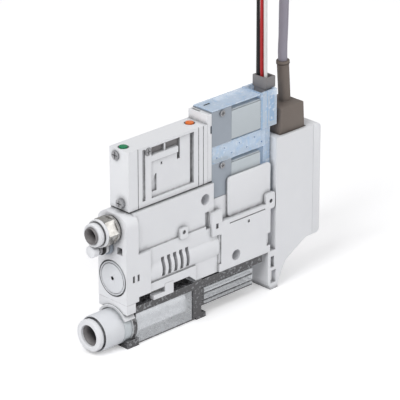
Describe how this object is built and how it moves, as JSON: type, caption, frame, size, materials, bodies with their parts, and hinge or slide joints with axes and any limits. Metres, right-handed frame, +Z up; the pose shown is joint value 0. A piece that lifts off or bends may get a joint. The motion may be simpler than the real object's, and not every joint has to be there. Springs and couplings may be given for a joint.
{
  "type": "vacuum ejector",
  "caption": "Slim vacuum ejector unit with supply and release valves, clear-cased suction filter, pressure sensor, push-in tube ports and trailing leads.",
  "frame": {"origin": "centre of the underside, on the surface that the unit's three feet stand on", "axes": "+X from the tube ports to the sensor, +Y across the width, +Z up; the valves are on top and the filter is underneath"},
  "size_m": [0.1287, 0.0728, 0.1347],
  "materials": {
    "white_plastic": "satin moulded, slightly grey white",
    "lilac_plastic": "smooth moulded, faint lilac white",
    "smoked_plastic": "smoked translucent, polished",
    "filter_fibre": "felted white fibre",
    "frosted_plastic": "clear, lightly frosted",
    "plated_brass": "bright nickel plate",
    "steel": "turned and polished",
    "seal_rubber": "matt",
    "grey_blue_plastic": "satin moulded, grey blue",
    "light_grey_plastic": "satin moulded, light grey blue",
    "clear_blue_plastic": "clear pale blue, polished",
    "copper": "enamelled winding",
    "green_plastic": "moulded",
    "orange_plastic": "moulded",
    "board_green": "coated laminate",
    "gold_contact": "gold flashed",
    "chip_black": "moulded package",
    "connector_grey": "satin moulded, warm grey",
    "taupe_rubber": "satin moulded, grey brown",
    "black_sheath": "satin extruded",
    "red_sheath": "satin extruded",
    "white_sheath": "satin extruded",
    "cable_sheath": "satin extruded, pale grey lilac",
    "tie_plastic": "moulded strap"
  },
  "bodies": {
    "unit": {"ejector_body": "white_plastic", "end_plug": "lilac_plastic", "nozzle": "plated_brass", "diffuser": "white_plastic", "silencer": "filter_fibre", "seal_rings": "seal_rubber", "supply_fitting": "plated_brass", "supply_guide": "white_plastic", "supply_collet": "steel", "supply_seal": "seal_rubber", "port_adapter": "white_plastic", "vacuum_fitting": "lilac_plastic", "vacuum_collet": "steel", "vacuum_seal": "seal_rubber", "case_ring": "frosted_plastic", "filter_case": "smoked_plastic", "filter_element": "filter_fibre", "rear_plug": "frosted_plastic", "needle_holder": "grey_blue_plastic", "valve_gasket": "seal_rubber", "valve_block": "white_plastic", "supply_override_spring": "steel", "release_override_spring": "steel", "valve_end_cap": "white_plastic", "small_screws": "steel", "pilot_seats": "grey_blue_plastic", "pilot_spacer": "clear_blue_plastic", "solenoids": "light_grey_plastic", "pilot_coils": "copper", "pilot_cores": "steel", "connector_housing": "clear_blue_plastic", "circuit_board": "board_green", "contact_pins": "gold_contact", "wire_connector": "connector_grey", "side_cover": "white_plastic", "sensor_housing": "white_plastic", "sensor_cover": "white_plastic", "sensor_board": "board_green", "sensor_chip": "chip_black", "sensor_pins": "gold_contact", "sensor_plug": "taupe_rubber", "black_wire": "black_sheath", "red_wire": "red_sheath", "white_wire": "white_sheath", "sensor_cable": "cable_sheath", "cable_hank": "cable_sheath", "cable_tie": "tie_plastic"},
    "supply_bush": {"supply_release_bush": "white_plastic"},
    "vacuum_bush": {"vacuum_release_bush": "white_plastic"},
    "flow_needle": {"needle": "white_plastic"},
    "lock_nut": {"needle_lock_nut": "white_plastic"},
    "supply_button": {"supply_override": "green_plastic"},
    "release_button": {"release_override": "orange_plastic"},
    "supply_valve_spool": {"supply_spool": "steel"},
    "release_valve_spool": {"release_spool": "steel"},
    "upper_pilot_armature": {"upper_armature": "steel"},
    "lower_pilot_armature": {"lower_armature": "steel"},
    "check_disc": {"check_valve": "seal_rubber"}
  },
  "joints": [
    {"name": "supply_bush_press", "type": "slide", "parent": "unit", "child": "supply_bush", "axis": [1, 0, 0], "range_m": [0, 0.001], "stiffness_N_per_m": 500},
    {"name": "vacuum_bush_press", "type": "slide", "parent": "unit", "child": "vacuum_bush", "axis": [1, 0, 0], "range_m": [0, 0.0012], "stiffness_N_per_m": 500},
    {"name": "needle_turn", "type": "hinge", "parent": "unit", "child": "flow_needle", "pos_m": [-0.045, 0.0022, 0.0385], "axis": [1, 0, 0], "range_deg": [0, 1800]},
    {"name": "lock_nut_turn", "type": "hinge", "parent": "flow_needle", "child": "lock_nut", "pos_m": [-0.045, 0.0022, 0.0385], "axis": [1, 0, 0], "range_deg": [0, 360]},
    {"name": "supply_button_press", "type": "slide", "parent": "unit", "child": "supply_button", "axis": [0, 0, -1], "range_m": [0, 0.0008], "stiffness_N_per_m": 400, "deforming": ["supply_override_spring"]},
    {"name": "release_button_press", "type": "slide", "parent": "unit", "child": "release_button", "axis": [0, 0, -1], "range_m": [0, 0.0008], "stiffness_N_per_m": 400, "deforming": ["release_override_spring"]},
    {"name": "supply_spool_shift", "type": "slide", "parent": "unit", "child": "supply_valve_spool", "axis": [1, 0, 0], "range_m": [0, 0.0015]},
    {"name": "release_spool_shift", "type": "slide", "parent": "unit", "child": "release_valve_spool", "axis": [1, 0, 0], "range_m": [0, 0.0015]},
    {"name": "upper_armature_pull", "type": "slide", "parent": "unit", "child": "upper_pilot_armature", "axis": [1, 0, 0], "range_m": [0, 0.0006], "stiffness_N_per_m": 200},
    {"name": "lower_armature_pull", "type": "slide", "parent": "unit", "child": "lower_pilot_armature", "axis": [1, 0, 0], "range_m": [0, 0.0006], "stiffness_N_per_m": 200},
    {"name": "check_lift", "type": "slide", "parent": "unit", "child": "check_disc", "axis": [0, 0, 1], "range_m": [0, 0.0012]}
  ]
}
